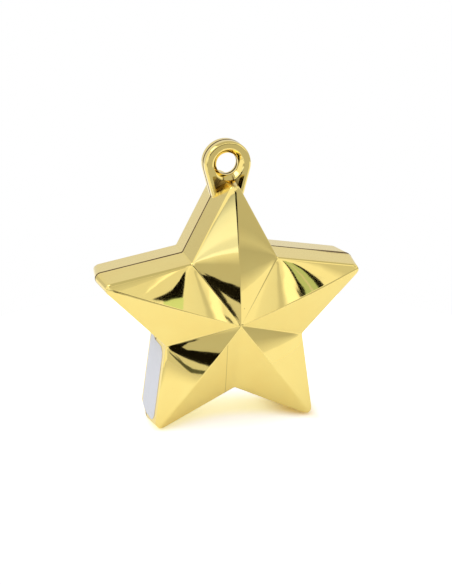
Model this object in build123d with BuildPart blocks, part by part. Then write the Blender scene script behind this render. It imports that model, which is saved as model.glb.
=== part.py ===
from build123d import *
from math import atan, cos, degrees, pi, radians, sin, sqrt, tan
import os

# A star balloon weight that stands on its two lower arms: two thin gold half shells, each with a
# set filling, glued at a seam round the middle, with a tie lug on the top arm.
# Millimetres. X is the star's width, +Z is up and the front faces -Y. The seam lies on Y = 0.

# Star outline at the seam
arm_count = 5
star_tip_radius = 47.0  # centre to where the two edges of an arm would meet
star_notch_radius = 24.5  # centre to the inner corner between two arms
tip_round = 2.0  # radius on the end of each arm
foot_flat = 0.5  # depth of the flat that each lower arm stands on

# Each half, from the seam outwards
wall_depth = 10.9  # seam to the rim of the faceted face
wall_draft = 3.9  # degrees that the side walls lean in
facet_rise = 7.6  # rim to the point in the middle of the face
shell_wall = 1.6

# Seam: a glue line set back from the outside, and a tongue inside it that lines up the halves
seam_gap = 0.25
glue_setback = 0.4
tongue_thickness = 0.7
tongue_height = 1.5
tongue_clearance = 0.1

# Filling
fill_clearance = 0.1  # left by the filling as it shrinks from the shell
fill_headroom = 0.4  # free depth over the poured surface

# Tie lug
lug_radius = 7.45
lug_half_thickness = 3.1
lug_foot_drop = 8.7  # end of the top arm down to the lug's foot inside the arm
lug_foot_share = 0.78  # of the arm's half width there
hole_radius = 3.5
hole_bite = 0.2  # how far the tie hole cuts into the end of the arm
flare_radius = 4.95
flare_depth = 1.6
pocket_rib = 1.5  # rim left between a pocket and the lug's edge
pocket_lip = 0.35  # rim left between a pocket and the flare
pocket_drop = 3.4  # hole centre down to the top of the pockets
pocket_depth = 2.0

# Label
label_thickness = 0.12
label_corner = 3.0
label_notch_margin = 1.3
label_tip_margin = 0.5
label_rim_margin = 2.4

# Cuts run past what they cut by this much
overrun = 1.0

# Worked out from the sizes above
half_turn = pi / arm_count
edge_run = star_tip_radius - star_notch_radius * cos(half_turn)
edge_rise = star_notch_radius * sin(half_turn)
edge_length = sqrt(edge_run**2 + edge_rise**2)
tip_half_angle = atan(edge_rise / edge_run)
round_centre_drop = tip_round / sin(tip_half_angle)  # sharp corner down to the rounding's centre
seam_inradius = star_tip_radius * star_notch_radius * sin(half_turn) / edge_length
draft_angle = radians(wall_draft)
draft_slope = tan(draft_angle)
facet_slope = facet_rise / (seam_inradius - wall_depth * draft_slope)
facet_angle = atan(facet_slope)
apex_depth = wall_depth + facet_rise
centre_height = (star_tip_radius - round_centre_drop) * cos(half_turn) + tip_round - foot_flat
tip_end = star_tip_radius - round_centre_drop + tip_round
hole_height = tip_end + hole_radius - hole_bite
rebate_inset = shell_wall - tongue_thickness - tongue_clearance

# The two halves are drawn on these planes, seen from outside, with the star's centre as origin
front = Plane(origin=(0, 0, centre_height), x_dir=(1, 0, 0), z_dir=(0, -1, 0))
rear = Plane(origin=(0, 0, centre_height), x_dir=(-1, 0, 0), z_dir=(0, 1, 0))

os.makedirs("parts", exist_ok=True)


def star_points(inradius):
    """Corners of a star like the one at the seam, with its edges at inradius from the centre."""
    share = inradius / seam_inradius
    corners = []
    for step in range(2 * arm_count):
        reach = star_notch_radius if step % 2 else star_tip_radius
        turn = step * half_turn
        corners.append((share * reach * sin(turn), share * reach * cos(turn)))
    return corners


def seam_star(inset):
    """The star's outline at the seam, drawn in by inset, with its arm ends rounded."""
    with BuildSketch() as outline:
        Polygon(*star_points(seam_inradius - inset), align=None)
        arm_ends = outline.vertices().sort_by_distance((0, 0))[-arm_count:]
        fillet(arm_ends, tip_round)
    return outline.sketch


def half_star(side, inset, start):
    """One half of the star, drawn in by inset on every face, from start above the seam to its point."""
    point_depth = apex_depth - inset / cos(facet_angle)
    roof_start = start - overrun
    with BuildPart() as half:
        for depth in (start, point_depth + overrun):
            wall_inset = inset / cos(draft_angle) + depth * draft_slope
            with BuildSketch(side.offset(depth)):
                Polygon(*star_points(seam_inradius - wall_inset), align=None)
        loft(ruled=True)
        axis_middle = side.offset((start + point_depth + overrun) / 2).origin
        arm_ends = half.edges().sort_by(lambda edge: (edge.center() - axis_middle).length)[-arm_count:]
        fillet(arm_ends, tip_round)
        with BuildSketch(side.offset(roof_start), mode=Mode.PRIVATE) as roof:
            Polygon(*star_points((point_depth - roof_start) / facet_slope), align=None)
        point = Vertex(*side.offset(point_depth).origin)
        loft([roof.sketch, point], ruled=True, mode=Mode.INTERSECT)
    return half.part


def lug_outline(inset):
    """The lug's teardrop outline, drawn in by inset: round at the top, with a foot inside the top arm."""
    foot_height = tip_end - lug_foot_drop
    foot_half_width = lug_foot_share * (star_tip_radius - foot_height) * tan(tip_half_angle) - inset
    with BuildSketch() as outline:
        with BuildLine():
            CenterArc((0, hole_height), lug_radius - inset, 0, 360)
            Line((-foot_half_width, foot_height), (foot_half_width, foot_height))
        make_hull()
    return outline.sketch


def lug_half(side):
    """Half of the lug's plate, with a pocket on each side of the arm's end."""
    with BuildPart() as lug:
        with BuildSketch(side.offset(seam_gap / 2)):
            add(lug_outline(0))
        extrude(amount=lug_half_thickness - seam_gap / 2)
        with BuildSketch(side.offset(lug_half_thickness)):
            add(lug_outline(pocket_rib))
            with Locations((0, hole_height)):
                Circle(flare_radius + pocket_lip, mode=Mode.SUBTRACT)
            with Locations((0, hole_height - pocket_drop)):
                Rectangle(2 * lug_radius, 2 * lug_radius, align=(Align.CENTER, Align.MIN), mode=Mode.SUBTRACT)
        extrude(amount=-pocket_depth, mode=Mode.SUBTRACT)
    return lug.part


def drill_tie_hole(side):
    """The flared hole through half of the lug, clear of the arm's end in front of it."""
    flare_angle = degrees(2 * atan((flare_radius - hole_radius) / flare_depth))
    with Locations(side.offset(lug_half_thickness).move(Location((0, hole_height, 0)))):
        CounterSinkHole(hole_radius, flare_radius, counter_sink_angle=flare_angle)


# Front shell, with the tongue that enters the rear one
with BuildPart() as front_shell:
    add(half_star(front, 0, seam_gap / 2))
    add(lug_half(front))
    add(half_star(front, shell_wall, 0), mode=Mode.SUBTRACT)
    with BuildSketch(front.offset(seam_gap / 2)):
        add(seam_star(shell_wall - tongue_thickness))
        add(seam_star(shell_wall), mode=Mode.SUBTRACT)
    extrude(amount=-(tongue_height + seam_gap / 2))
    drill_tie_hole(front)
    split(bisect_by=Plane.XY, keep=Keep.TOP)
front_shell.part.label = "front_shell"
export_step(front_shell.part, "parts/front_shell.step")

# Rear shell, with a rebate for the tongue
with BuildPart() as rear_shell:
    add(half_star(rear, 0, seam_gap / 2))
    add(lug_half(rear))
    add(half_star(rear, shell_wall, 0), mode=Mode.SUBTRACT)
    with BuildSketch(rear):
        add(seam_star(rebate_inset))
    extrude(amount=tongue_height + tongue_clearance, mode=Mode.SUBTRACT)
    drill_tie_hole(rear)
    split(bisect_by=Plane.XY, keep=Keep.TOP)
rear_shell.part.label = "rear_shell"
export_step(rear_shell.part, "parts/rear_shell.step")

# Glue line between the shells and between the two halves of the lug
with BuildPart() as seam_adhesive:
    with BuildSketch(front.offset(-seam_gap / 2)):
        add(seam_star(glue_setback))
        add(lug_outline(glue_setback))
        add(seam_star(rebate_inset), mode=Mode.SUBTRACT)
        with Locations((0, hole_height)):
            Circle(hole_radius + glue_setback, mode=Mode.SUBTRACT)
    extrude(amount=seam_gap)
seam_adhesive.part.label = "seam_adhesive"
export_step(seam_adhesive.part, "parts/seam_adhesive.step")

# Filling set in the front half
with BuildPart() as front_ballast:
    add(half_star(front, shell_wall + fill_clearance, fill_headroom))
front_ballast.part.label = "front_ballast"
export_step(front_ballast.part, "parts/front_ballast.step")

# Filling set in the rear half, below the tongue
with BuildPart() as rear_ballast:
    add(half_star(rear, shell_wall + fill_clearance, tongue_height + tongue_clearance + fill_headroom))
rear_ballast.part.label = "rear_ballast"
export_step(rear_ballast.part, "parts/rear_ballast.step")

# Label, bent over the seam on the left wall of the lower left arm
lower_left_turn = (arm_count + 1) * half_turn
arm_corner = Vector(star_tip_radius * sin(lower_left_turn), 0, star_tip_radius * cos(lower_left_turn))
notch_turn = lower_left_turn + half_turn
notch_corner = Vector(star_notch_radius * sin(notch_turn), 0, star_notch_radius * cos(notch_turn))
along_wall = (arm_corner - notch_corner).normalized()
label_plane = Plane(
    origin=notch_corner + Vector(0, 0, centre_height),
    x_dir=along_wall,
    z_dir=(along_wall.Z, 0, -along_wall.X),
)
straight_length = edge_length - tip_round / tan(tip_half_angle)
label_length = straight_length - label_notch_margin - label_tip_margin
label_width = 2 * (wall_depth - label_rim_margin)
label_bend = label_width / 2 * draft_slope  # how far its long edges fall back from the seam
with BuildPart() as label:
    add(half_star(front, -label_thickness, 0))
    add(half_star(rear, -label_thickness, 0))
    add(half_star(front, 0, 0), mode=Mode.SUBTRACT)
    add(half_star(rear, 0, 0), mode=Mode.SUBTRACT)
    with BuildSketch(label_plane):
        with Locations((label_notch_margin + label_length / 2, 0)):
            RectangleRounded(label_length, label_width, label_corner)
    extrude(amount=label_bend + overrun, both=True, mode=Mode.INTERSECT)
label.part.label = "label"
export_step(label.part, "parts/label.step")
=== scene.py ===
# %% [markdown]
# # A gold star balloon weight
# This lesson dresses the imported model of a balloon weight: two thin gold half shells, glued at a
# seam round the middle and filled, with a lug for the ribbon on the top arm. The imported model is
# loaded first, as a fixed frame. Everything that follows is made around it, in the same place.

# %% Load the frame
import math

import bpy
from mathutils import Matrix, Vector


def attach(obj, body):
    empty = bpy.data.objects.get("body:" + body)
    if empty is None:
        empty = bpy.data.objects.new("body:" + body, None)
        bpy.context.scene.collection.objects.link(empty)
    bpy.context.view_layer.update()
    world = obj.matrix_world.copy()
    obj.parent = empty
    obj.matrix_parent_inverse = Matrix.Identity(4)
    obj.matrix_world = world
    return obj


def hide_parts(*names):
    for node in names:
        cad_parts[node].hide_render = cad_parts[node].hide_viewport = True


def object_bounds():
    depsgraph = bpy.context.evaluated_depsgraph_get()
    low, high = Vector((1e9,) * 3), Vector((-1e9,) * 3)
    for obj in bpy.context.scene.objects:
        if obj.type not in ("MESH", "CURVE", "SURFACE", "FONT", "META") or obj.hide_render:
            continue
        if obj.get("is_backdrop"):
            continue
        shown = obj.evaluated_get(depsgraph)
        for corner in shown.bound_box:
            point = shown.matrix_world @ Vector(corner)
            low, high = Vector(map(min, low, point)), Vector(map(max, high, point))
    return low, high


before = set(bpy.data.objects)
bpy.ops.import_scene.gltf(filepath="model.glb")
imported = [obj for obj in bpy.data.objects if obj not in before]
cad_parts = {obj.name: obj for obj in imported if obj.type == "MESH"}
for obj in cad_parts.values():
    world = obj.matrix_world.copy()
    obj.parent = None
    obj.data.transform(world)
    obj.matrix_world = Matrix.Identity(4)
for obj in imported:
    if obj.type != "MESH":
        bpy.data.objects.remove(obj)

cad_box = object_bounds()
print("nodes:", sorted(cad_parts))
print("CAD box (m):", [tuple(round(x, 5) for x in corner) for corner in cad_box])

# %% [markdown]
# ## The star's sizes
# A moulder would start from the outline at the seam and from the section of one half. These are
# the sizes of the solid model, in millimetres, so that the new meshes lie exactly on its walls.
# Meshes are drawn in millimetres, and each finished one is scaled to metres once.

# %% Sizes of the star
MM = 0.001
ARMS = 5
TIP_RADIUS = 47.0  # centre to where the two edges of an arm would meet
NOTCH_RADIUS = 24.5  # centre to the inner corner between two arms
TIP_ROUND = 2.0
WALL_DEPTH = 10.9  # seam to the rim of the faceted face
DRAFT = math.tan(math.radians(3.9))  # how fast the side walls lean in
FACET_RISE = 7.6  # rim to the point in the middle of the face
SHELL_WALL = 1.6
SEAM_GAP = 0.25
FOOT_FLAT = 0.5

half_turn = math.pi / ARMS
notch_point = Vector((NOTCH_RADIUS * math.sin(half_turn), NOTCH_RADIUS * math.cos(half_turn)))
tip_point = Vector((0.0, TIP_RADIUS))
edge = notch_point - tip_point
tip_half_angle = math.atan2(edge.x, -edge.y)
inradius = TIP_RADIUS * math.sin(tip_half_angle)
rim_inradius = inradius - WALL_DEPTH * DRAFT
facet_slope = FACET_RISE / rim_inradius
apex_depth = WALL_DEPTH + FACET_RISE
round_centre = TIP_RADIUS - TIP_ROUND / math.sin(tip_half_angle)
tip_end = round_centre + TIP_ROUND
centre_height = round_centre * math.cos(half_turn) + TIP_ROUND - FOOT_FLAT
print(f"edge {edge.length:.2f} mm, half angle of a tip {math.degrees(tip_half_angle):.2f} deg")
print(f"centre {centre_height:.3f} mm above the table, facets lean {facet_slope:.4f}")

# %% [markdown]
# ## The outline of one arm
# Every level of the star has the same outline, only larger or smaller, so one arm's outline at the
# seam is enough. It runs from notch to notch: a small hollow round in each notch, straight edges,
# and a round end. Rounds are what makes a moulding look moulded: they catch the light as a line.

# %% Outline of one arm
NOTCH_ROUND = 1.1
TIP_STEPS, EDGE_STEPS, NOTCH_STEPS = 9, 34, 4


def half_outline(tip_round):
    """Points (x, z, share of the way from tip to notch) from the tip's ridge to the notch's valley."""
    along = edge.normalized()
    centre = TIP_RADIUS - tip_round / math.sin(tip_half_angle)
    points = []
    for step in range(TIP_STEPS + 1):
        turn = (math.pi / 2 - tip_half_angle) * step / TIP_STEPS
        points.append(Vector((tip_round * math.sin(turn), centre + tip_round * math.cos(turn))))
    valley = notch_point.normalized()
    open_angle = math.acos(valley.dot(-along))
    hollow_centre = notch_point + valley * (NOTCH_ROUND / math.sin(open_angle))
    hollow_start = notch_point - along * (NOTCH_ROUND / math.tan(open_angle))
    straight_start = points[-1]
    for step in range(1, EDGE_STEPS):
        points.append(straight_start.lerp(hollow_start, step / EDGE_STEPS))
    first_arm = hollow_start - hollow_centre
    for step in range(NOTCH_STEPS + 1):
        turn = (math.pi / 2 - open_angle) * step / NOTCH_STEPS
        points.append(hollow_centre + Matrix.Rotation(turn, 2) @ first_arm)
    return [(p.x, p.y, min(1.0, (p - tip_point).dot(along) / edge.length)) for p in points]


def arm_outline(tip_round):
    """The whole outline of an arm, from the left notch to the right one."""
    right_half = half_outline(tip_round)
    return [(-x, z, share) for x, z, share in reversed(right_half[1:])] + right_half


print("arm outline:", len(arm_outline(TIP_ROUND)), "points, widest at",
      tuple(round(v, 3) for v in arm_outline(TIP_ROUND)[-1][:2]))

# %% [markdown]
# ## The section of one half
# A half shell has the same section all round: from the point in the middle down a facet, over a
# rounded rim, down the side wall to the seam, and back up inside at the wall's thickness. At the
# seam, one half has a tongue and the other a rebate for it. Each corner of the section that shows
# is rounded here, so that no round has to be cut into the mesh later.

# %% Rounds and straight steps
def rounded(before, corner, after, radius, steps):
    """Points along the round that replaces a corner of a section."""
    to_before, to_after = (before - corner).normalized(), (after - corner).normalized()
    half_angle = math.acos(to_before.dot(to_after)) / 2
    centre = corner + (to_before + to_after).normalized() * (radius / math.sin(half_angle))
    start = corner + to_before * (radius / math.tan(half_angle)) - centre
    end = corner + to_after * (radius / math.tan(half_angle)) - centre
    turn = math.atan2(start.x * end.y - start.y * end.x, start.dot(end))
    return [centre + Matrix.Rotation(turn * step / steps, 2) @ start for step in range(steps + 1)]


def between(start, end, steps):
    """Points from start towards end, without the ends."""
    return [start.lerp(end, step / steps) for step in range(1, steps)]


def wall_at(depth, inset=0.0):
    """Distance of the side wall, drawn in by inset, from the star's axis."""
    return inradius - depth * DRAFT - inset * math.sqrt(1 + DRAFT**2)


print(f"the wall is {wall_at(0):.2f} mm from the axis at the seam, {wall_at(WALL_DEPTH):.2f} at the rim")

# %% Section of the two halves
SEAM_FACE = SEAM_GAP / 2  # depth of each half's face at the seam
RIM_ROUND = 0.55
SEAM_ROUND = 0.14
LIP_BAND = 0.3  # narrow ring beside the round of the seam's lip
TONGUE_THICKNESS, TONGUE_HEIGHT, TONGUE_CLEARANCE = 0.7, 1.5, 0.1
FACET_STEPS, WALL_STEPS, RIM_STEPS, SEAM_STEPS, INNER_STEPS = 38, 6, 7, 3, 4


def outer_section():
    """(inradius, depth) from the point, over the rim and down to the seam."""
    point = Vector((0.0, apex_depth))
    rim = Vector((rim_inradius, WALL_DEPTH))
    lip = Vector((wall_at(SEAM_FACE), SEAM_FACE))
    rim_round = rounded(point, rim, lip, RIM_ROUND, RIM_STEPS)
    lip_round = rounded(rim, lip, Vector((0.0, SEAM_FACE)), SEAM_ROUND, SEAM_STEPS)
    section = [point] + between(point, rim_round[0], FACET_STEPS) + rim_round
    beside = lip_round[0] + (rim_round[-1] - lip_round[0]).normalized() * LIP_BAND
    return section + between(rim_round[-1], beside, WALL_STEPS) + [beside] + lip_round


def inner_section(inset, start_depth):
    """(inradius, depth) up the inside of the wall and along the facet to the inner point."""
    inner_apex = apex_depth - inset * math.sqrt(1 + facet_slope**2)
    rim = (inner_apex - facet_slope * wall_at(0, inset)) / (1 - facet_slope * DRAFT)
    start = Vector((wall_at(start_depth, inset), start_depth))
    corner = Vector((wall_at(rim, inset), rim))
    point = Vector((0.0, inner_apex))
    return [start, corner] + between(corner, point, INNER_STEPS) + [point]


tongue_side = inradius - (SHELL_WALL - TONGUE_THICKNESS)
rebate_side = tongue_side + TONGUE_CLEARANCE
rebate_depth = TONGUE_HEIGHT + TONGUE_CLEARANCE
front_section = outer_section() + [
    Vector((tongue_side, SEAM_FACE)),
    Vector((tongue_side, -TONGUE_HEIGHT)),
    Vector((inradius - SHELL_WALL, -TONGUE_HEIGHT)),
] + inner_section(SHELL_WALL, SEAM_FACE)
rear_section = outer_section() + [
    Vector((rebate_side, SEAM_FACE)),
    Vector((rebate_side, rebate_depth)),
] + inner_section(SHELL_WALL, rebate_depth)
print(f"sections: front {len(front_section)} points, rear {len(rear_section)}")

# %% [markdown]
# ## One arm
# A thin moulding shrinks as it cools, and its flat facets don't stay quite flat: each one bends a
# little, like a sheet of card held at the notch, so that all its straight lines fan out from there.
# A mirror finish shows even a few tenths of a millimetre of it. The bend is a formula here,
# because a modifier would bend the whole star and not each facet about its own notch.

# %% Bend of a facet and round of a ridge
FACET_BOW = 1.3  # how far the middle of a ridge stands proud of a straight line
RIDGE_ROUND = 0.5  # on the ridges, which are crisper than the ends of the arms
RIDGE_END_SHARE = 0.93  # where a ridge starts to widen into the round end of its arm


def bow(inner_share, edge_share):
    """How far a facet stands proud, by its shares of the way out from the point and from tip to notch."""
    reach = 1 - inner_share * edge_share
    if inner_share >= 1 or reach <= 0:
        return 0.0
    along_ridge = (1 - inner_share) / reach
    return FACET_BOW * reach * 4 * along_ridge * (1 - along_ridge)


def ridge_round(inner_share):
    """The round on a ridge, by its share of the way out from the point to the rim."""
    widening = max(0.0, (inner_share - RIDGE_END_SHARE) / (1 - RIDGE_END_SHARE))
    return RIDGE_ROUND + (TIP_ROUND - RIDGE_ROUND) * min(1.0, widening) ** 2


print(f"half way out, a facet is {bow(0.5, 0):.2f} mm proud at its ridge, {bow(0.5, 1):.2f} in its valley")

# %% Mesh of one arm
def new_object(name, verts, faces):
    mesh = bpy.data.meshes.new(name)
    mesh.from_pydata(verts, [], faces)
    made = bpy.data.objects.new(name, mesh)
    bpy.context.scene.collection.objects.link(made)
    return made


def arm_object(name, section, bowed_rings=0):
    """One arm from notch to notch, closed over the star's axis at both ends of the section."""
    verts, faces, rings = [], [], []
    around = len(arm_outline(TIP_ROUND))
    for ring, (size, depth) in enumerate(section):
        if size == 0:
            rings.append([len(verts)] * around)
            verts.append((0.0, -depth, 0.0))
            continue
        share, inner_share = size / inradius, size / rim_inradius
        on_facet = ring < bowed_rings
        rings.append(range(len(verts), len(verts) + around))
        for x, z, edge_share in arm_outline(ridge_round(inner_share) if on_facet else TIP_ROUND):
            proud = bow(inner_share, edge_share) if on_facet else 0.0
            verts.append((x * share, -depth - proud, z * share))
    for inner, outer in zip(rings, rings[1:]):
        for left in range(around - 1):
            corners = (inner[left], inner[left + 1], outer[left + 1], outer[left])
            faces.append(tuple(dict.fromkeys(corners)))
    return new_object(name, verts, faces)


facet_rings = FACET_STEPS + 1
front_arm = arm_object("front_arm", front_section, facet_rings)
rear_arm = arm_object("rear_arm", rear_section, facet_rings)
print("one arm:", len(front_arm.data.polygons), "faces")

# %% [markdown]
# ## Five arms make the star
# The other four arms are copies, turned about the star's axis. That repeats, so it is a job for
# Geometry Nodes: the tree puts an instance of the arm on each of five points, turns it by its
# index, makes the copies real and welds them where they meet.

# %% One function for nodes
def add_node(tree, kind, inputs=None, **settings):
    """Adds a node with its settings. An input gets a value, or a link from a socket or a node's first one."""
    made = tree.nodes.new(kind)
    for name, value in settings.items():
        setattr(made, name, value)
    for name, value in (inputs or {}).items():
        if isinstance(value, bpy.types.Node):
            value = value.outputs[0]
        if isinstance(value, bpy.types.NodeSocket):
            tree.links.new(value, made.inputs[name])
        else:
            made.inputs[name].default_value = value
    return made


# %% Tree that turns an arm into a star
STAR_INPUTS = {"Arm": "NodeSocketGeometry", "Arms": "NodeSocketInt",
               "Weld distance": "NodeSocketFloat", "Finish": "NodeSocketMaterial"}


def star_tree():
    tree = bpy.data.node_groups.new("star_from_arm", "GeometryNodeTree")
    tree.interface.new_socket("Geometry", in_out="OUTPUT", socket_type="NodeSocketGeometry")
    for name, kind in STAR_INPUTS.items():
        tree.interface.new_socket(name, in_out="INPUT", socket_type=kind)
    given = add_node(tree, "NodeGroupInput")
    points = add_node(tree, "GeometryNodePoints", {"Count": given.outputs["Arms"]})
    one_turn = add_node(tree, "ShaderNodeMath", {
        0: 2 * math.pi, 1: given.outputs["Arms"]}, operation="DIVIDE")
    index = add_node(tree, "GeometryNodeInputIndex")
    turn = add_node(tree, "ShaderNodeMath", {
        0: index, 1: one_turn}, operation="MULTIPLY")
    rotation = add_node(tree, "FunctionNodeAxisAngleToRotation", {
        "Axis": (0, 1, 0), "Angle": turn})
    copies = add_node(tree, "GeometryNodeInstanceOnPoints", {
        "Points": points, "Instance": given.outputs["Arm"], "Rotation": rotation})
    real = add_node(tree, "GeometryNodeRealizeInstances", {"Geometry": copies})
    welded = add_node(tree, "GeometryNodeMergeByDistance", {
        "Geometry": real, "Distance": given.outputs["Weld distance"]})
    finished = add_node(tree, "GeometryNodeSetMaterial", {
        "Geometry": welded, "Material": given.outputs["Finish"]})
    add_node(tree, "NodeGroupOutput", {"Geometry": finished})
    return tree


arm_to_star = star_tree()
print("star tree:", len(arm_to_star.nodes), "nodes")

# %% Two stars
WELD = 0.001  # mm


def plain_mesh(piece):
    """Turns an object's modifiers into its mesh."""
    evaluated = piece.evaluated_get(bpy.context.evaluated_depsgraph_get())
    piece.data = bpy.data.meshes.new_from_object(evaluated)
    piece.modifiers.clear()
    return piece


def star_of(arm, finish):
    """The closed star that five copies of an arm make."""
    modifier = arm.modifiers.new("star", "NODES")
    modifier.node_group = arm_to_star
    values = {"Arms": ARMS, "Weld distance": WELD, "Finish": finish}
    for item in arm_to_star.interface.items_tree:
        if item.in_out == "INPUT" and item.name in values:
            modifier[item.identifier] = values[item.name]
    return plain_mesh(arm)


gold = bpy.data.materials.new("metallised_polystyrene_gold_lacquer")
front_star = star_of(front_arm, gold)
rear_star = star_of(rear_arm, gold)
print("star:", len(front_star.data.vertices), "vertices,", len(front_star.data.polygons), "faces")

# %% [markdown]
# ## The tie lug
# The lug is a flat teardrop with a flared hole for the ribbon, moulded half with each shell. It
# could be cut from a plate, but then its edges would be sharp. Here rows of points run round it:
# up its rounded edge, across its face, over the lip of the flare and down the hole.

# %% Sizes and outline of the lug
HOLE_RADIUS, FLARE_RADIUS, FLARE_DEPTH = 3.5, 4.95, 1.6
HOLE_BITE = 0.2  # how far the hole reaches below the end of the arm
LUG_RADIUS, LUG_DEPTH = 7.45, 3.1
LUG_FOOT_DROP, LUG_FOOT_SHARE = 8.7, 0.78  # foot below the arm's end, and its share of the arm's width
ARC_STEPS, SIDE_STEPS, FOOT_STEPS = 56, 9, 6
hole_height = tip_end + HOLE_RADIUS - HOLE_BITE
foot_height = tip_end - LUG_FOOT_DROP


def lug_outline(inset):
    """The teardrop's points, drawn in by inset, once round from the right end of its foot."""
    radius = LUG_RADIUS - inset
    foot = LUG_FOOT_SHARE * (TIP_RADIUS - foot_height) * math.tan(tip_half_angle) - inset
    reach = math.hypot(foot, foot_height - hole_height)
    tangent = math.atan2(foot_height - hole_height, foot) + math.acos(radius / reach)
    touch = Vector((radius * math.cos(tangent), hole_height + radius * math.sin(tangent)))
    corner = Vector((foot, foot_height))
    points = [corner] + between(corner, touch, SIDE_STEPS)
    for step in range(ARC_STEPS + 1):
        turn = tangent + (math.pi - 2 * tangent) * step / ARC_STEPS
        points.append(Vector((radius * math.cos(turn), hole_height + radius * math.sin(turn))))
    points += [Vector((-p.x, p.y)) for p in reversed(points[:SIDE_STEPS])]
    return points + between(points[-1], corner, FOOT_STEPS)


def hole_row(radius):
    """Points round the hole, each in line with one of the outline."""
    middle = Vector((0.0, hole_height))
    return [middle + (p - middle).normalized() * radius for p in lug_outline(0)]


print(f"lug: hole centre {centre_height + hole_height:.3f} mm above the table,",
      len(lug_outline(0)), "points round")

# %% Mesh of half the lug
LUG_EDGE_ROUND, LIP_ROUND, THROAT_ROUND = 0.95, 1.5, 0.7
LUG_EDGE_STEPS, LIP_STEPS, THROAT_STEPS = 8, 8, 6


def strips(bands, rows, around):
    """Faces that join each row of points to the next. Every row is a closed ring."""
    faces = []
    for row in range(bands):
        start, following = row * around, (row + 1) % rows * around
        for j in range(around):
            k = (j + 1) % around
            faces.append((start + j, start + k, following + k, following + j))
    return faces


def lug_object(name):
    low, top, throat_top = SEAM_FACE, LUG_DEPTH, LUG_DEPTH - FLARE_DEPTH
    face, flare, throat = map(Vector, ((LUG_RADIUS, top), (FLARE_RADIUS, top), (HOLE_RADIUS, throat_top)))
    side_round = rounded(Vector((0, 0)), Vector((0, top)), face, LUG_EDGE_ROUND, LUG_EDGE_STEPS)
    seam_round = rounded(Vector((LUG_RADIUS, low)), Vector((0, low)), Vector((0, top)),
                         SEAM_ROUND, SEAM_STEPS)
    lip_round = rounded(face, flare, throat, LIP_ROUND, LIP_STEPS)
    throat_round = rounded(flare, throat, Vector((HOLE_RADIUS, 0)), THROAT_ROUND, THROAT_STEPS)
    beside = low + SEAM_ROUND + LIP_BAND
    edge_rows = seam_round + [Vector((0, beside))] + side_round
    hole_rows = lip_round + throat_round
    hole_rows += [(HOLE_RADIUS, depth) for depth in (beside, low + SEAM_ROUND, low)]
    rows = [[(p.x, -depth, p.y) for p in lug_outline(inset)] for inset, depth in edge_rows]
    rows += [[(p.x, -depth, p.y) for p in hole_row(radius)] for radius, depth in hole_rows]
    verts = [v for row in rows for v in row]
    return new_object(name, verts, strips(len(rows), len(rows), len(rows[0])))


front_lug = lug_object("front_lug")
rear_lug = lug_object("rear_lug")
print("half lug:", len(front_lug.data.polygons), "faces")

# %% [markdown]
# ## Joining the lug to the star
# In the mould, lug and star are one space. Here the Boolean modifier joins them: the flare is cut
# through the end of the top arm, two shallow pockets beside the arm are cut into the lug, and the
# lug's foot is cut off inside the wall of the shell before the two are joined.

# %% Cutters
POCKET_RIB, POCKET_LIP, POCKET_DROP, POCKET_DEPTH = 1.5, 0.35, 3.4, 2.0
POCKET_STEPS, CIRCLE_STEPS = 6, 96
LAP = 0.02  # how far a cut goes past a face that it would otherwise lie on
OVERRUN = 1.0  # how far a cutter stands out of what it cuts


def prism(name, outline, low, high):
    """A closed prism from an outline, from depth low to depth high."""
    count = len(outline)
    verts = [(p.x, -depth, p.y) for depth in (low, high) for p in outline]
    ends = [tuple(reversed(range(count))), tuple(range(count, 2 * count))]
    return new_object(name, verts, strips(1, 2, count) + ends)


def pocket_outline(side):
    """The right (1) or left (-1) pocket, between the lug's rim, the flare and the arm."""
    radius = FLARE_RADIUS + POCKET_LIP
    rim = lug_outline(POCKET_RIB)
    lower, upper = rim[0], rim[SIDE_STEPS]
    rim_top = lower.lerp(upper, (hole_height - POCKET_DROP - lower.y) / (upper.y - lower.y))
    start = math.acos(POCKET_DROP / radius)
    turns = [start * step / POCKET_STEPS for step in range(POCKET_STEPS, -1, -1)]
    ring = [Vector((radius * math.sin(t), hole_height - radius * math.cos(t))) for t in turns]
    points = [Vector((0.0, lower.y)), lower, rim_top] + ring
    return points if side > 0 else [Vector((-p.x, p.y)) for p in reversed(points)]


def circle(radius):
    turns = [2 * math.pi * j / CIRCLE_STEPS for j in range(CIRCLE_STEPS)]
    return [(radius * math.cos(t), radius * math.sin(t)) for t in turns]


def flare_cutter(name):
    """The flared hole, a hair larger than the lug's own, and its flare carried on out of the front."""
    wide, narrow = FLARE_RADIUS + LAP, HOLE_RADIUS + LAP
    rows = [(narrow, -2 * OVERRUN), (narrow, LUG_DEPTH - FLARE_DEPTH),
            (wide, LUG_DEPTH), (wide, apex_depth)]
    bands = len(rows) - 1
    verts = [(x, -depth, hole_height + z) for radius, depth in rows for x, z in circle(radius)]
    ends = [tuple(reversed(range(CIRCLE_STEPS))), tuple(range(bands * CIRCLE_STEPS, len(verts)))]
    return new_object(name, verts, ends + strips(bands, len(rows), CIRCLE_STEPS))


def core_star(name):
    """A solid star that ends in the middle of the shell's wall."""
    section = inner_section(SHELL_WALL / 2, -2 * OVERRUN)
    section = list(reversed(section)) + [Vector((0.0, -2 * OVERRUN))]
    return star_of(arm_object(name, section), None)


print("a pocket has", len(pocket_outline(1)), "corners and is", POCKET_DEPTH, "mm deep")

# %% Boolean joints
def join(base, other, operation):
    """Adds other to base, or takes it away, and removes other."""
    modifier = base.modifiers.new("joint", "BOOLEAN")
    modifier.operation, modifier.solver, modifier.object = operation, "EXACT", other
    plain_mesh(base)
    bpy.data.objects.remove(other)
    return base


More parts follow.
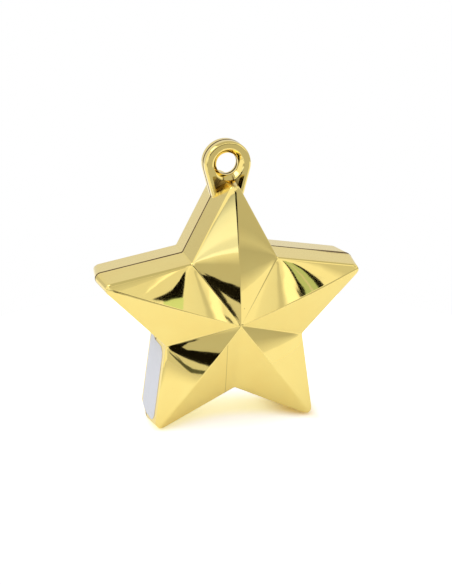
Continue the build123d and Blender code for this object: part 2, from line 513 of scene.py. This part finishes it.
def moulded_half(star, lug):
    for side in (1, -1):
        pocket = prism("pocket", pocket_outline(side), LUG_DEPTH - POCKET_DEPTH, LUG_DEPTH + OVERRUN)
        join(lug, pocket, "DIFFERENCE")
    join(lug, core_star("core"), "DIFFERENCE")
    join(star, flare_cutter("flare"), "DIFFERENCE")
    return join(star, lug, "UNION")


front_shell = moulded_half(front_star, front_lug)
rear_shell = moulded_half(rear_star, rear_lug)
front_shell.name, rear_shell.name = "front_half", "rear_half"
for half in (front_shell, rear_shell):
    print(half.name, len(half.data.vertices), "vertices,", len(half.data.polygons), "faces")

# %% [markdown]
# ## Into place
# Both halves were drawn facing the viewer, with the star's centre as origin. The rear half is
# turned half a turn about the upright axis, and both are lifted so that the lower arms stand on
# the table. A glued seam is never quite even, so its lips wander by a tenth of a millimetre and
# gape a little at the end of the right arm. Glue that was pressed out stays on them as a dark
# line, and is smeared beside that gap. A point attribute marks it for the gold material. The ends
# of the lower arms are flat where the star stands.

# %% Uneven seam and its glue
SEAM_WANDER = 0.1
RIPPLES = ((0.55, 7, 0.4), (0.3, 16, 2.1), (0.15, 37, 0.0))  # share, waves round the star, start
GAPE_PLACE, GAPE_SPREAD, GAPE = math.radians(72), math.radians(5), 2.5
SMEAR_PLACE, SMEAR_SPREAD, SMEAR = math.radians(66), math.radians(6), 0.5
LIP_EDGE = SEAM_FACE + SEAM_ROUND + LAP  # depth that a lip's round reaches


def hump(turn, place, spread):
    """1 at a place round the star, and falling to 0 on both sides of it."""
    return math.exp(-(((turn - place) / spread) ** 2))


def seam_shift(x, z):
    """How far a lip of the seam stands back at a place round the star."""
    turn = math.atan2(x, z)
    ripple = sum(share * math.sin(waves * turn + start) for share, waves, start in RIPPLES)
    return SEAM_WANDER * (0.5 + 0.5 * ripple + GAPE * hump(turn, GAPE_PLACE, GAPE_SPREAD))


def glue_mark(x, y, z):
    """How much glue a point of the shell carries."""
    if abs(y) <= LIP_EDGE:
        return 1.0
    smeared = SMEAR * hump(math.atan2(x, z), SMEAR_PLACE, SMEAR_SPREAD)
    return smeared if abs(y) <= LIP_EDGE + LIP_BAND else 0.0


print(f"the lips of the seam stand up to {SEAM_WANDER * (1 + GAPE):.2f} mm back")

# %% Halves into place
def mark_points(mesh, name, values):
    """A point attribute, which a material can read by its name."""
    mesh.attributes.new(name, "FLOAT", "POINT").data.foreach_set("value", values)


def place_half(half, turn):
    """Turns and lifts a half, gives it its glue, uneven seam and flat feet, and scales it to metres."""
    half.data.transform(Matrix.Rotation(turn, 4, "Z"))
    mark_points(half.data, "seam", [glue_mark(*v.co) for v in half.data.vertices])
    for vertex in half.data.vertices:
        x, y, z = vertex.co
        if SEAM_FACE - LAP <= abs(y) <= LIP_EDGE + LIP_BAND:
            y += math.copysign(seam_shift(x, z), y)
        vertex.co = (x, y, max(0.0, z + centre_height))
    half.data.transform(Matrix.Scale(MM, 4))


for half, turn in ((front_shell, 0), (rear_shell, math.pi)):
    place_half(half, turn)
    low, high = ([round(pick(v.co[axis] for v in half.data.vertices) / MM, 2) for axis in range(3)]
                 for pick in (min, max))
    print(half.name, "reaches from", low, "to", high, "mm")

# %% [markdown]
# ## Smooth where it is round, sharp where it is cut
# Mirror gold shows every fault in the shading. Edges that turn by more than a set angle are marked
# sharp, and the Weighted Normal modifier lets large flat faces keep their own direction, so that a
# small round next to them doesn't bend their reflections.

# %% Shading of the shells
SHARP_ANGLE = math.radians(33)


def smooth_shading(piece):
    piece.data.polygons.foreach_set("use_smooth", [True] * len(piece.data.polygons))
    piece.data.set_sharp_from_angle(angle=SHARP_ANGLE)
    modifier = piece.modifiers.new("flat_faces_first", "WEIGHTED_NORMAL")
    modifier.mode, modifier.weight, modifier.keep_sharp = "FACE_AREA", 50, True
    return plain_mesh(piece)


for half in (front_shell, rear_shell):
    smooth_shading(half)
    print(half.name, "is smooth up to", round(math.degrees(SHARP_ANGLE)), "degrees")

# %% [markdown]
# ## Marks for the finish
# The mould leaves the side walls satin and the facets bright. Beside the lug, the arm's walls get
# painted shade: their gold is mixed towards brown. Point attributes tell the gold material where
# these are. They are worked out from the star's sizes, because marks painted by hand would be done
# again after each change.

# %% Satin walls and the lug's shade
FACET_TILT, TILT_FADE = 0.75, 0.4  # how far a normal points to the front where satin ends, and its fade
SHADE_REACH, SHADE_FOOT = 2.6, 3.6  # in front of the lug's face and above its foot
ON_WALL = 0.1  # mm from a wall that still count as on it


def mark_walls(piece):
    """1 on the side walls, which the mould leaves satin, and 0 on facets and lug."""
    hole = Vector((0, 0, (centre_height + hole_height) * MM))
    lug_reach = (hole_height - foot_height) * MM
    values = []
    for v in piece.data.vertices:
        on_lug = abs(v.co.y) < (LUG_DEPTH + LAP) * MM and (v.co - hole).length < lug_reach
        satin = min(1.0, max(0.0, (FACET_TILT - abs(v.normal.y)) / TILT_FADE))
        values.append(0.0 if on_lug else satin)
    mark_points(piece.data, "wall", values)
    return sum(values) / len(values)


def mark_shade(piece):
    """1 on the top arm's walls beside the lug, where the gold gets painted shade."""
    values = []
    for v in piece.data.vertices:
        across, depth, height = abs(v.co.x) / MM, abs(v.co.y) / MM, v.co.z / MM - centre_height
        off_wall = wall_at(depth) - across * math.cos(tip_half_angle) - height * math.sin(tip_half_angle)
        shaded = height > foot_height + SHADE_FOOT and SEAM_GAP < depth < LUG_DEPTH + SHADE_REACH
        values.append(float(shaded and abs(off_wall) < ON_WALL))
    mark_points(piece.data, "shade", values)
    return int(sum(values))


for half in (front_shell, rear_shell):
    print(half.name, f"{mark_walls(half):.2f} of its points lie on walls,",
          mark_shade(half), "in the lug's shade")

# %% [markdown]
# ## Colours
# Colours are written as the hex values that a paint program shows, and one function turns them
# into the linear values that Blender's shaders work in.

# %% Hex to linear, and an empty node tree
def linear(hex_colour):
    """An sRGB hex colour as linear red, green, blue and alpha."""
    parts = [int(hex_colour[i:i + 2], 16) / 255 for i in (1, 3, 5)]
    return tuple(c / 12.92 if c <= 0.04045 else ((c + 0.055) / 1.055) ** 2.4 for c in parts) + (1.0,)


def empty_tree(owner):
    """The node tree of a material or a world, with nothing in it."""
    owner.use_nodes = True
    owner.node_tree.nodes.clear()
    return owner.node_tree


print("mid grey in linear light:", round(linear("#808080")[0], 3))

# %% [markdown]
# ## Gold: polystyrene, metallised and lacquered
# The shells are moulded in polystyrene, coated with aluminium in a vacuum and sprayed with a clear
# yellow lacquer. To the eye that is a true mirror in yellow gold, with a faint waviness from the
# lacquer, a softer sheen on the side walls and a few specks of dust under the coat. Beside the lug
# the gold is mixed towards brown as painted shade, and a hairline shows where two flows of plastic
# met. A plain metal shader with a yellow base colour gives this; a yellow plastic would have white
# reflections.

# %% Colour of the gold
LACQUER_DRIFT = 8 * MM  # the lacquer's thickness drifts over this length
SPECK_GRID, SPECK_CORE, SPECK_EDGE, SPECK_DARK = 9 * MM, 0.012, 0.03, 0.6  # core and edge in grids
# Painted shade: on the walls beside the lug the gold is mixed this far towards brown.
PAINTED_SHADE_SHARE = 0.85  # share of brown beside the lug
DUST = linear("#6d5a2c")


def gold_colour(tree, place):
    """The yellow of the lacquer, with specks of dust and painted shade beside the lug."""
    drift = add_node(tree, "ShaderNodeTexNoise", {
        "Vector": place, "Scale": 1 / LACQUER_DRIFT, "Detail": 2.0})
    tint = add_node(tree, "ShaderNodeMix", {
        "Factor": drift.outputs["Fac"], "A": linear("#fde288"), "B": linear("#ffea92")}, data_type="RGBA")
    # Specks up to 0.5 mm across, where a point of the grid happens to lie on the surface
    speck = add_node(tree, "ShaderNodeTexVoronoi", {"Vector": place, "Scale": 1 / SPECK_GRID})
    dark = add_node(tree, "ShaderNodeMapRange", {
        "Value": speck.outputs["Distance"], "From Min": SPECK_CORE, "From Max": SPECK_EDGE,
        "To Min": SPECK_DARK, "To Max": 0.0})
    specked = add_node(tree, "ShaderNodeMix", {
        "Factor": dark, "A": tint.outputs[2], "B": DUST}, data_type="RGBA")
    # Painted shade: the walls beside the lug are mixed towards this dark brown.
    shade = add_node(tree, "ShaderNodeAttribute", attribute_name="shade")
    painted_shade = add_node(tree, "ShaderNodeMath", {0: shade.outputs["Fac"], 1: PAINTED_SHADE_SHARE}, operation="MULTIPLY")
    return add_node(tree, "ShaderNodeMix", {
        "Factor": painted_shade, "A": specked.outputs[2], "B": linear("#6b4d1c")},
        data_type="RGBA").outputs[2]


print("specks lie on a grid of", round(SPECK_GRID / MM), "mm")

# %% Flow line of the moulding
LINE_LEFT, LINE_LEAN = 2.7 * MM, 0.05  # left of the middle at the table, and its lean
LINE_CORE, LINE_EDGE, LINE_DARK = 0.04 * MM, 0.16 * MM, 0.4
LINE_TOP, LINE_DEPTH = 29.8 * MM, 10.95 * MM  # it ends at this height, and lies in front of the rim


def flow_line(tree, place):
    """How dark the hairline below the middle of the front is."""
    at = add_node(tree, "ShaderNodeSeparateXYZ", {0: place}).outputs
    lean = add_node(tree, "ShaderNodeMath", {0: at["Z"], 1: LINE_LEAN, 2: at["X"]}, operation="MULTIPLY_ADD")
    off = add_node(tree, "ShaderNodeMath", {0: lean, 1: LINE_LEFT}, operation="ADD")
    away = add_node(tree, "ShaderNodeMath", {0: off}, operation="ABSOLUTE")
    hair = add_node(tree, "ShaderNodeMapRange", {
        "Value": away, "From Min": LINE_CORE, "From Max": LINE_EDGE,
        "To Min": LINE_DARK, "To Max": 0.0})
    front = add_node(tree, "ShaderNodeMath", {0: at["Y"], 1: -LINE_DEPTH}, operation="LESS_THAN")
    below = add_node(tree, "ShaderNodeMath", {0: at["Z"], 1: LINE_TOP}, operation="LESS_THAN")
    here = add_node(tree, "ShaderNodeMath", {
        0: front, 1: below}, operation="MULTIPLY")
    return add_node(tree, "ShaderNodeMath", {
        0: hair, 1: here}, operation="MULTIPLY")


print(f"the hairline is up to {2 * LINE_EDGE / MM:.2f} mm wide")

# %% Gold material
MIRROR_ROUGH, SATIN_ROUGH, GLUE_ROUGH = 0.035, 0.17, 0.75
GLUE_START, GLUE_FULL = 0.1, 0.7  # of the mark for glue
RIPPLE_LENGTH, RIPPLE_HEIGHT, RIPPLE_STRENGTH = 5 * MM, 0.1 * MM, 0.08  # far too low to feel


def make_gold(material):
    tree = empty_tree(material)
    place = add_node(tree, "ShaderNodeTexCoord").outputs["Object"]
    wall = add_node(tree, "ShaderNodeAttribute", attribute_name="wall").outputs["Fac"]
    seam = add_node(tree, "ShaderNodeAttribute", attribute_name="seam").outputs["Fac"]
    lined = add_node(tree, "ShaderNodeMix", {
        "Factor": flow_line(tree, place), "A": gold_colour(tree, place), "B": DUST}, data_type="RGBA")
    # Glue pressed out over the lips of the seam: brown, dull and not metallic
    bare = add_node(tree, "ShaderNodeMapRange", {
        "Value": seam, "From Min": GLUE_START, "From Max": GLUE_FULL, "To Min": 1.0, "To Max": 0.0})
    stained = add_node(tree, "ShaderNodeMix", {
        "Factor": bare, "A": linear("#553818"), "B": lined.outputs[2]}, data_type="RGBA")
    sheen = add_node(tree, "ShaderNodeMapRange", {
        "Value": wall, "To Min": MIRROR_ROUGH, "To Max": SATIN_ROUGH})
    rough = add_node(tree, "ShaderNodeMix", {
        "Factor": bare, "A": GLUE_ROUGH, "B": sheen})
    ripple = add_node(tree, "ShaderNodeTexNoise", {
        "Vector": place, "Scale": 1 / RIPPLE_LENGTH, "Detail": 1.0})
    bump = add_node(tree, "ShaderNodeBump", {
        "Height": ripple.outputs["Fac"], "Strength": RIPPLE_STRENGTH, "Distance": RIPPLE_HEIGHT})
    shader = add_node(tree, "ShaderNodeBsdfPrincipled", {
        "Base Color": stained.outputs[2], "Metallic": bare, "Roughness": rough, "Normal": bump})
    add_node(tree, "ShaderNodeOutputMaterial", {"Surface": shader})
    return len(tree.nodes)


print("gold:", make_gold(gold), "nodes")

# %% [markdown]
# ## The other finishes
# Set cement is a pale grey stone with sand grains. Dried glue is a brown, slightly glossy bead.
# The sticker is coated white paper, nearly even, with a little fibre under the coat. Its grey here
# stands partly for the print on it and partly for painted shade. All three are one grain seen in
# colour, gloss and relief, so one function makes them.

# %% Cement, glue and paper
def make_mottled(name, low, high, grain, roughness, height):
    """A finish whose colour, gloss and relief all follow one grain, given in millimetres."""
    material = bpy.data.materials.new(name)
    tree = empty_tree(material)
    place = add_node(tree, "ShaderNodeTexCoord").outputs["Object"]
    noise = add_node(tree, "ShaderNodeTexNoise", {
        "Vector": place, "Scale": 1 / (grain * MM), "Detail": 4.0})
    colour = add_node(tree, "ShaderNodeMix", {
        "Factor": noise.outputs["Fac"], "A": linear(low), "B": linear(high)}, data_type="RGBA")
    gloss = add_node(tree, "ShaderNodeMapRange", {
        "Value": noise.outputs["Fac"], "To Min": roughness[0], "To Max": roughness[1]})
    bump = add_node(tree, "ShaderNodeBump", {
        "Height": noise.outputs["Fac"], "Strength": 0.5, "Distance": height * MM})
    shader = add_node(tree, "ShaderNodeBsdfPrincipled", {
        "Base Color": colour.outputs[2], "Roughness": gloss, "Normal": bump})
    add_node(tree, "ShaderNodeOutputMaterial", {"Surface": shader})
    return material


cement = make_mottled("set_cement_cast", "#7f7c74", "#a19d93", 0.8, (0.85, 0.95), 0.2)
glue = make_mottled("solvent_glue_dried", "#1d1208", "#3d2812", 1.2, (0.25, 0.5), 0.05)
# The paper's grey is partly its print and partly painted shade.
paper = make_mottled("coated_label_paper", "#c9ccd6", "#d6d8e0", 0.5, (0.42, 0.6), 0.01)
print("finishes:", [m.name for m in (gold, cement, glue, paper)])

# %% Finishes on the pieces
for half, node in ((front_shell, "front_shell"), (rear_shell, "rear_shell")):
    half.data.materials.clear()
    half.data.materials.append(gold)
    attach(half, "root")
    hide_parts(node)
node_finishes = {"front_ballast": cement, "rear_ballast": cement, "seam_adhesive": glue, "label": paper}
for node, finish in node_finishes.items():
    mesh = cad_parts[node].data
    mesh.materials.clear()
    mesh.materials.append(finish)

# %% [markdown]
# ## Studio
# The star stands on a round white sheet in a white room. A mirror shows the room rather than
# itself, so the room matters as much as the metal: without something darker to reflect, polished
# gold looks like flat yellow paint. The sheet is matt, so it keeps the star's shadow, and has a
# glow of its own that makes it white in the picture. Gold throws yellow light down between the
# feet. Working that light out takes long and leaves grain, so that light is painted into the glow
# there, with a painted brown shadow at the right foot. The sheet's left rim is painted greyer, as
# shade at its edge.

# %% Glow of the sheet
# Where the painted yellow light between the feet and the painted brown shadow at the right foot fade.
FEET_FADE, LINE_FADE, FOOT_SHADOW_FADE = (25, 31), (3, 12), (10, 22)  # mm where a colour starts and ends to fade
FEET_LINE, FEET_BEND = 4 * MM, 15.0  # the line between the feet bends to the front at both ends


def sheet_glow(tree):
    """White, with painted yellow light between the feet and a painted brown shadow at the right foot."""
    place = add_node(tree, "ShaderNodeTexCoord").outputs["Object"]
    at = add_node(tree, "ShaderNodeSeparateXYZ", {0: place}).outputs
    across = add_node(tree, "ShaderNodeMath", {0: at["X"]}, operation="ABSOLUTE")
    square = add_node(tree, "ShaderNodeMath", {0: at["X"], 1: at["X"]}, operation="MULTIPLY")
    bent = add_node(tree, "ShaderNodeMath", {
        0: square, 1: FEET_BEND, 2: at["Y"]}, operation="MULTIPLY_ADD")
    off_line = add_node(tree, "ShaderNodeMath", {0: bent, 1: FEET_LINE}, operation="SUBTRACT")
    away = add_node(tree, "ShaderNodeMath", {0: off_line}, operation="ABSOLUTE")
    fades = []
    for value, (start, end) in ((across, FEET_FADE), (away, LINE_FADE), (at["X"], FOOT_SHADOW_FADE)):
        fades.append(add_node(tree, "ShaderNodeMapRange", {
            "Value": value, "From Min": start * MM, "From Max": end * MM, "To Min": 1.0, "To Max": 0.0},
            interpolation_type="SMOOTHSTEP"))
    near_feet, near_line, left_of_foot = fades
    under = add_node(tree, "ShaderNodeMath", {0: near_feet, 1: near_line}, operation="MULTIPLY")
    # Painted light and shadow: pale yellow from the gold above, brown in the right arm's shadow.
    painted_light_and_shadow = add_node(tree, "ShaderNodeMix", {
        "Factor": left_of_foot, "A": linear("#896800"), "B": linear("#c1ba89")}, data_type="RGBA")
    return add_node(tree, "ShaderNodeMix", {
        "Factor": under, "A": linear("#b3b3b3"), "B": painted_light_and_shadow.outputs[2]},
        data_type="RGBA").outputs[2]


print("the yellow ends", FEET_FADE[1], "mm from the middle")

# %% White sheet and white room
SHEET_RADIUS = 128 * MM
# The grey at the sheet's left rim is painted shade at its edge.
MATT_SHARE, RIM_SHADE_SHARE, MIRROR_SHARE = 0.86, 0.58, 0.09  # sheet, its left rim, its glow in mirrors
GREY_CENTRE, GREY_START, GREY_END = 30 * MM, 114 * MM, 148 * MM  # off centre: grey at the left rim only


def sheet_finish(name):
    """A matt white with painted shade at the left rim, a glow for the camera and a share of it for mirrors.
    """
    material = bpy.data.materials.new(name)
    tree = empty_tree(material)
    place = add_node(tree, "ShaderNodeTexCoord").outputs["Object"]
    reach = add_node(tree, "ShaderNodeVectorMath", {0: place, 1: (GREY_CENTRE, 0, 0)}, operation="DISTANCE")
    grey = add_node(tree, "ShaderNodeMapRange", {
        "Value": reach.outputs["Value"], "From Min": GREY_START, "From Max": GREY_END,
        "To Min": MATT_SHARE, "To Max": RIM_SHADE_SHARE}, interpolation_type="SMOOTHSTEP")
    matt = add_node(tree, "ShaderNodeBsdfDiffuse", {"Color": grey})
    path = add_node(tree, "ShaderNodeLightPath").outputs
    mirrored = add_node(tree, "ShaderNodeMath", {
        0: path["Is Glossy Ray"], 1: path["Is Transmission Ray"]}, operation="MAXIMUM")
    in_mirror = add_node(tree, "ShaderNodeMath", {
        0: mirrored, 1: MIRROR_SHARE}, operation="MULTIPLY")
    strength = add_node(tree, "ShaderNodeMath", {
        0: path["Is Camera Ray"], 1: in_mirror}, operation="ADD")
    light = add_node(tree, "ShaderNodeEmission", {
        "Color": sheet_glow(tree), "Strength": strength})
    both = add_node(tree, "ShaderNodeAddShader", {0: matt, 1: light})
    add_node(tree, "ShaderNodeOutputMaterial", {"Surface": both})
    return material


sheet = new_object("sheet", [(x, y, 0.0) for x, y in circle(SHEET_RADIUS)], [tuple(range(CIRCLE_STEPS))])
sheet.data.materials.append(sheet_finish("white_sheet"))
sheet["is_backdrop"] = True
world = bpy.data.worlds.new("white_room")
bpy.context.scene.world = world
world_tree = empty_tree(world)
room_light = add_node(world_tree, "ShaderNodeBackground", {"Color": linear("#ffffff"), "Strength": 1.0})
add_node(world_tree, "ShaderNodeOutputWorld", {"Surface": room_light})
print("sheet", round(2 * SHEET_RADIUS / MM), "mm across, in the world", world.name)

# %% [markdown]
# ## Cards
# Studios stand cards round such an object, outside the picture. Each card here is a patch of
# cloth, seen from the star between given angles: azimuth from straight ahead, positive to the
# right, and elevation from level. They are hidden from the camera, and all but the soft light are
# hidden from matt surfaces too, so only the gold shows them. A close card lies in the sight of one
# facet alone, and a far one shows up at the same angle in several. A shape has a hard edge in the
# gold. A band or a curtain can change softly, because its light is given point by point.

# %% Cards round the star
ROOM, FRONT, MIDDLE = 900, 870, 600  # mm from the star's centre
CLOSE, NEAR, NEAREST, FAR = 300, 150, 115, 3000  # a few mm more put a card just behind another
BEND = 5  # degrees from one bend of a card to the next
star_centre = Vector((0, 0, centre_height * MM))


def card_finish(name, colour):
    """An even glow, whose strength is the card's point attribute "light"."""
    material = bpy.data.materials.new(name)
    tree = empty_tree(material)
    level = add_node(tree, "ShaderNodeAttribute", attribute_name="light")
    glow = add_node(tree, "ShaderNodeEmission", {
        "Color": linear(colour), "Strength": level.outputs["Fac"]})
    add_node(tree, "ShaderNodeOutputMaterial", {"Surface": glow})
    return material


def towards(turn, rise):
    """The direction at an azimuth and an elevation, in radians."""
    return Vector((math.sin(turn) * math.cos(rise), -math.cos(turn) * math.cos(rise), math.sin(rise)))


def card(name, colour, lights, verts, faces, distance, lights_all=False):
    """A card through points given as (azimuth, elevation) in degrees, with a light for each point."""
    places = [star_centre + towards(math.radians(turn), math.radians(rise)) * (distance * MM)
              for turn, rise in verts]
    made = new_object(name, places, faces)
    mark_points(made.data, "light", lights)
    made.data.materials.append(card_finish(name, colour))
    made.visible_camera = False
    made.visible_diffuse = made.visible_shadow = lights_all
    made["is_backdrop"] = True
    return made


def shape(name, colour, light, corners, distance=ROOM):
    """A flat card with any outline."""
    return card(name, colour, [light] * len(corners), corners, [tuple(range(len(corners)))], distance)


def curtain(name, colour, lights, low, low_turns, high, high_turns, distance=ROOM, lights_all=False):
    """A bent card between two elevations. Its light changes softly from point to point."""
    count = len(low_turns)
    faces = [(j, j + 1, count + j + 1, count + j) for j in range(count - 1)]
    verts = [(turn, low) for turn in low_turns] + [(turn, high) for turn in high_turns]
    return card(name, colour, lights, verts, faces, distance, lights_all)


def band(name, colour, light, low, high, left, right, distance=ROOM, lights_all=False):
    """A curved card with level edges. Its light runs from its lower edge to its upper one."""
    bends = max(1, round((right - left) / BEND))
    turns = [left + (right - left) * step / bends for step in range(bends + 1)]
    lights = [light[0]] * len(turns) + [light[1]] * len(turns)
    return curtain(name, colour, lights, low, turns, high, turns, distance, lights_all)


def stack(names, colour, levels, left, right, distance=ROOM):
    """Bands on top of each other. A level is an elevation and the light there."""
    return [band(name, colour, (low[1], high[1]), low[0], high[0], left, right, distance)
            for name, low, high in zip(names, levels, levels[1:])]


print("cards stand round a point", round(star_centre.z / MM, 1), "mm above the sheet")

# %% Cards low in front and at the right
WHITE, BLACK, GREEN, COOL = "#ffffff", "#0d0a06", "#d7f0ce", "#e4ebff"
cards = [
    band("grey_low_left", WHITE, (0.54, 0.54), -8.4, 4.0, -60, -20),
    band("grey_low_front", WHITE, (0.54, 0.54), -32, 2.9, -20, 45),
    *stack(["grey_right_low", "grey_right", "streak_right", "streak_right_fade", "grey_right_high"], WHITE,
           [(-8.8, 0.86), (-5, 0.53), (-0.6, 0.48), (1.3, 0.62), (3.6, 0.52), (16, 0.56)], 45, 85),
    band("grey_front", WHITE, (0.5, 0.4), 2.9, 23, -20, 45, ROOM + 30),
    shape("black_drape", BLACK, 1, [
        (-26, 1.5), (-16, 1.5), (-11, 5.5), (4, 5.5), (25, 12), (30, 17.5), (-35, 17.5), (-26, 12)], FRONT),
]
print(len(cards), "cards low in front and at the right")

# %% Cards in front of the lower left and top arms
cards += [
    band("grey_under", WHITE, (0.62, 0.72), -15, -8.0, -42, -20, FAR + 100),
    shape("black_leg", BLACK, 1, [
        (-33.3, -9.4), (-32.4, -9.9), (-33.5, -12.2), (-33.9, -13.6), (-36.2, -14.4), (-35.1, -11.7)], FAR),
    shape("sheet_edge", "#54584f", 1, [
        (-39.5, -13.1), (-38, -13.5), (-36.1, -14.3), (-34.3, -15.1), (-32.3, -14.6), (-30.8, -14.3),
        (-30.8, -13.3), (-31.6, -13.5), (-33.5, -13.85), (-34.9, -13.45), (-36.3, -12.95),
        (-38.6, -12.5), (-39.5, -12.4)], NEAR),
    shape("tan_under", WHITE, 0.66, [
        (-38.5, -10.2), (-34.9, -10.2), (-34.0, -11.6), (-33.9, -13.2), (-34.2, -16), (-38.5, -16)],
        CLOSE + 20),
    shape("black_bar", BLACK, 1, [
        (-34, -9.2), (-32.4, -9.2), (-31.2, -9.0), (-29.9, -8.85), (-24, -8.7), (-24, -4.6),
        (-28.5, -4.9), (-29.8, -5.05), (-30.8, -5.3), (-31.7, -5.7)], MIDDLE),
    shape("black_post", BLACK, 1, [
        (-38.5, -11.6), (-36.4, -11.7), (-33.8, -12.1), (-33.9, -7.6), (-34.6, -6.3), (-34.3, -4.4),
        (-33.7, -2.6), (-31.8, -0.5), (-32.0, 0.3), (-36.3, -0.4), (-37.3, -4.5), (-38.8, -10.2)], NEAREST),
    band("grey_rise", WHITE, (0.54, 0.9), 2.0, 5.3, -60, -20, CLOSE),
    *stack(["bright_line", "bright_fade", "dull_left", "cool_rise", "cool_left", "pale_left"], COOL,
           [(5.3, 1.5), (6.2, 1.5), (6.9, 1.12), (8.5, 1.16), (9.9, 1.4), (12.5, 1.36), (15.6, 1.2)],
           -48, -22, CLOSE),
    band("grey_high_left", COOL, (1.2, 0.6), 15.6, 18.8, -50, -28, CLOSE),
]
print(len(cards), "cards with those at the lower left")

# %% Cards in front of the upper left arm
STREAK_LIGHTS = [0.82, 0.82, 1.25, 1.25, 0.82, 0.85]
FOLD_LIGHTS = [1.0, 0.9, 0.84, 0.63, 0.63, 0.86, 1.25, 1.25, 0.85, 1.0]  # one dark fold, one bright
fold_turns = [9, 10.5, 16.3, 17.4, 18.3, 19.0, 19.8, 22.4, 23.4, 26]
cards += [
    band("grey_top_left", WHITE, (0.74, 0.52), 37.5, 44, -14, 5, ROOM + 10),
    curtain("bright_streak", WHITE, STREAK_LIGHTS * 2, 33.2, [-4, 1.8, 1.9, 2.0, 2.2, 7.5],
            38, [-4, 1.2, 2.7, 3.2, 4.8, 7.5]),
    shape("tan_panel", WHITE, 0.83, [(-4, 29.5), (8, 29.5), (7.5, 33.2), (-4, 33.2)]),
    shape("black_patch", BLACK, 1, [
        (-7.0, 31.3), (-5.2, 30.3), (-3.2, 29.4), (-0.9, 29.0), (2.5, 28.3), (2.7, 28.8), (2.7, 30.0),
        (2.3, 31.7), (1.5, 33.1), (0.1, 34.6), (-0.2, 34.1), (-0.4, 32.4), (-1.9, 31.3), (-4.2, 31.2)], NEAR),
    shape("green_patch", GREEN, 1, [
        (-3.3, 29.6), (-3.1, 28.7), (0.1, 27.2), (3.3, 26.1), (3.2, 28.1), (2.4, 28.6), (-0.9, 29.4)],
        NEAR + 4),
    curtain("folds_low", WHITE, FOLD_LIGHTS * 2, 24, [9, 10.5, 16.2, 17.3, 18.2, 19.0, 19.7, 22.2, 23.2, 26],
            26.3, fold_turns),
    curtain("folds_high", WHITE, FOLD_LIGHTS * 2, 26.3, fold_turns,
            30, [9, 10.5, 16.0, 16.8, 17.8, 20, 28, 29, 30, 32]),
    shape("black_dash", BLACK, 1, [(22.9, 25.7), (24.4, 25.7), (24.6, 26.1), (23.1, 26.15)], FRONT),
]
print(len(cards), "cards with those at the upper left")

# %% Cards in front of the upper right arm
cards += [
    shape("black_left_strip", BLACK, 1, [
        (25.4, 25.0), (26.3, 25.2), (27.0, 26.5), (26.7, 27.5), (27.6, 29.5), (28.2, 31), (27.5, 31),
        (26.9, 29.5), (25.8, 27.5), (25.5, 26)], CLOSE),
    shape("green_panel", GREEN, 0.72, [
        (25.9, 24.8), (30.8, 26), (31.5, 29.3), (31.8, 32.5), (27.8, 31.5)], CLOSE + 8),
    shape("pale_line", WHITE, 0.68, [(28.3, 25.8), (28.8, 25.8), (29.6, 31), (29.2, 31)], CLOSE + 4),
    shape("black_right_strip", BLACK, 1, [
        (30.4, 26.4), (31.9, 26.4), (32.2, 27.8), (32.3, 30.2), (32.1, 32.4), (31.3, 32.2), (31.1, 29.3),
        (30.6, 27.2)], CLOSE),
    curtain("beige_right", WHITE, [1.0, 0.68, 0.66] * 2, 27, [32.9, 35.2, 52], 39, [33.9, 36.2, 52]),
]
print(len(cards), "cards with those at the upper right")

# %% Ceiling, back and soft light
cards += [
    band("grey_ceiling", WHITE, (0.55, 0.55), 45, 90, -180, 180, ROOM + 50),
    band("grey_back", WHITE, (0.76, 0.76), -8, 45, 128, 236),
    band("grey_back_left", WHITE, (0.62, 0.62), -6, 18, 201, 226, MIDDLE),
    band("grey_back_right", WHITE, (0.6, 0.6), -8, 45, 85, 128),
    band("soft_light", WHITE, (2.6, 2.6), 40, 66, -115, -40, lights_all=True),
]
print(len(cards), "cards, from", NEAREST, "to", FAR, "mm off")

# %% [markdown]
# ## Camera
# The camera stands a little to the left of the star and above it, with a short telephoto lens: a
# wide one from close by would swell the near arms. Its place was fitted to the star's corners.

# %% Camera
CAMERA_AZIMUTH, CAMERA_ELEVATION = math.radians(-15.02), math.radians(18.56)
CAMERA_DISTANCE, CAMERA_AIM = 475.42, 5.21  # aim is above the star's centre
FOCAL_PIXELS, LONG_SIDE_PIXELS, SENSOR = 1471.51, 584, 36.0
back = towards(CAMERA_AZIMUTH, CAMERA_ELEVATION)
lens = bpy.data.cameras.new("camera")
lens.sensor_width, lens.lens = SENSOR, FOCAL_PIXELS / LONG_SIDE_PIXELS * SENSOR
camera = bpy.data.objects.new("camera", lens)
bpy.context.scene.collection.objects.link(camera)
camera.location = Vector((0, 0, (centre_height + CAMERA_AIM) * MM)) + back * (CAMERA_DISTANCE * MM)
camera.rotation_euler = (-back).to_track_quat("-Z", "Y").to_euler()
bpy.context.scene.camera = camera
bpy.context.scene.view_settings.view_transform = "Standard"
print("camera at", [round(v, 4) for v in camera.location], f"with a {lens.lens:.1f} mm lens")

# %% [markdown]
# ## Sizes, then the end
# The dressed model has to be as large as the solid one, so both boxes are written down to compare.

# %% Sizes, then the end
visual_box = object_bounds()
apart = [abs(a - b) for old, new in zip(cad_box, visual_box) for a, b in zip(old, new)]
print(f"the two boxes differ by up to {max(apart) / MM:.3f} mm")
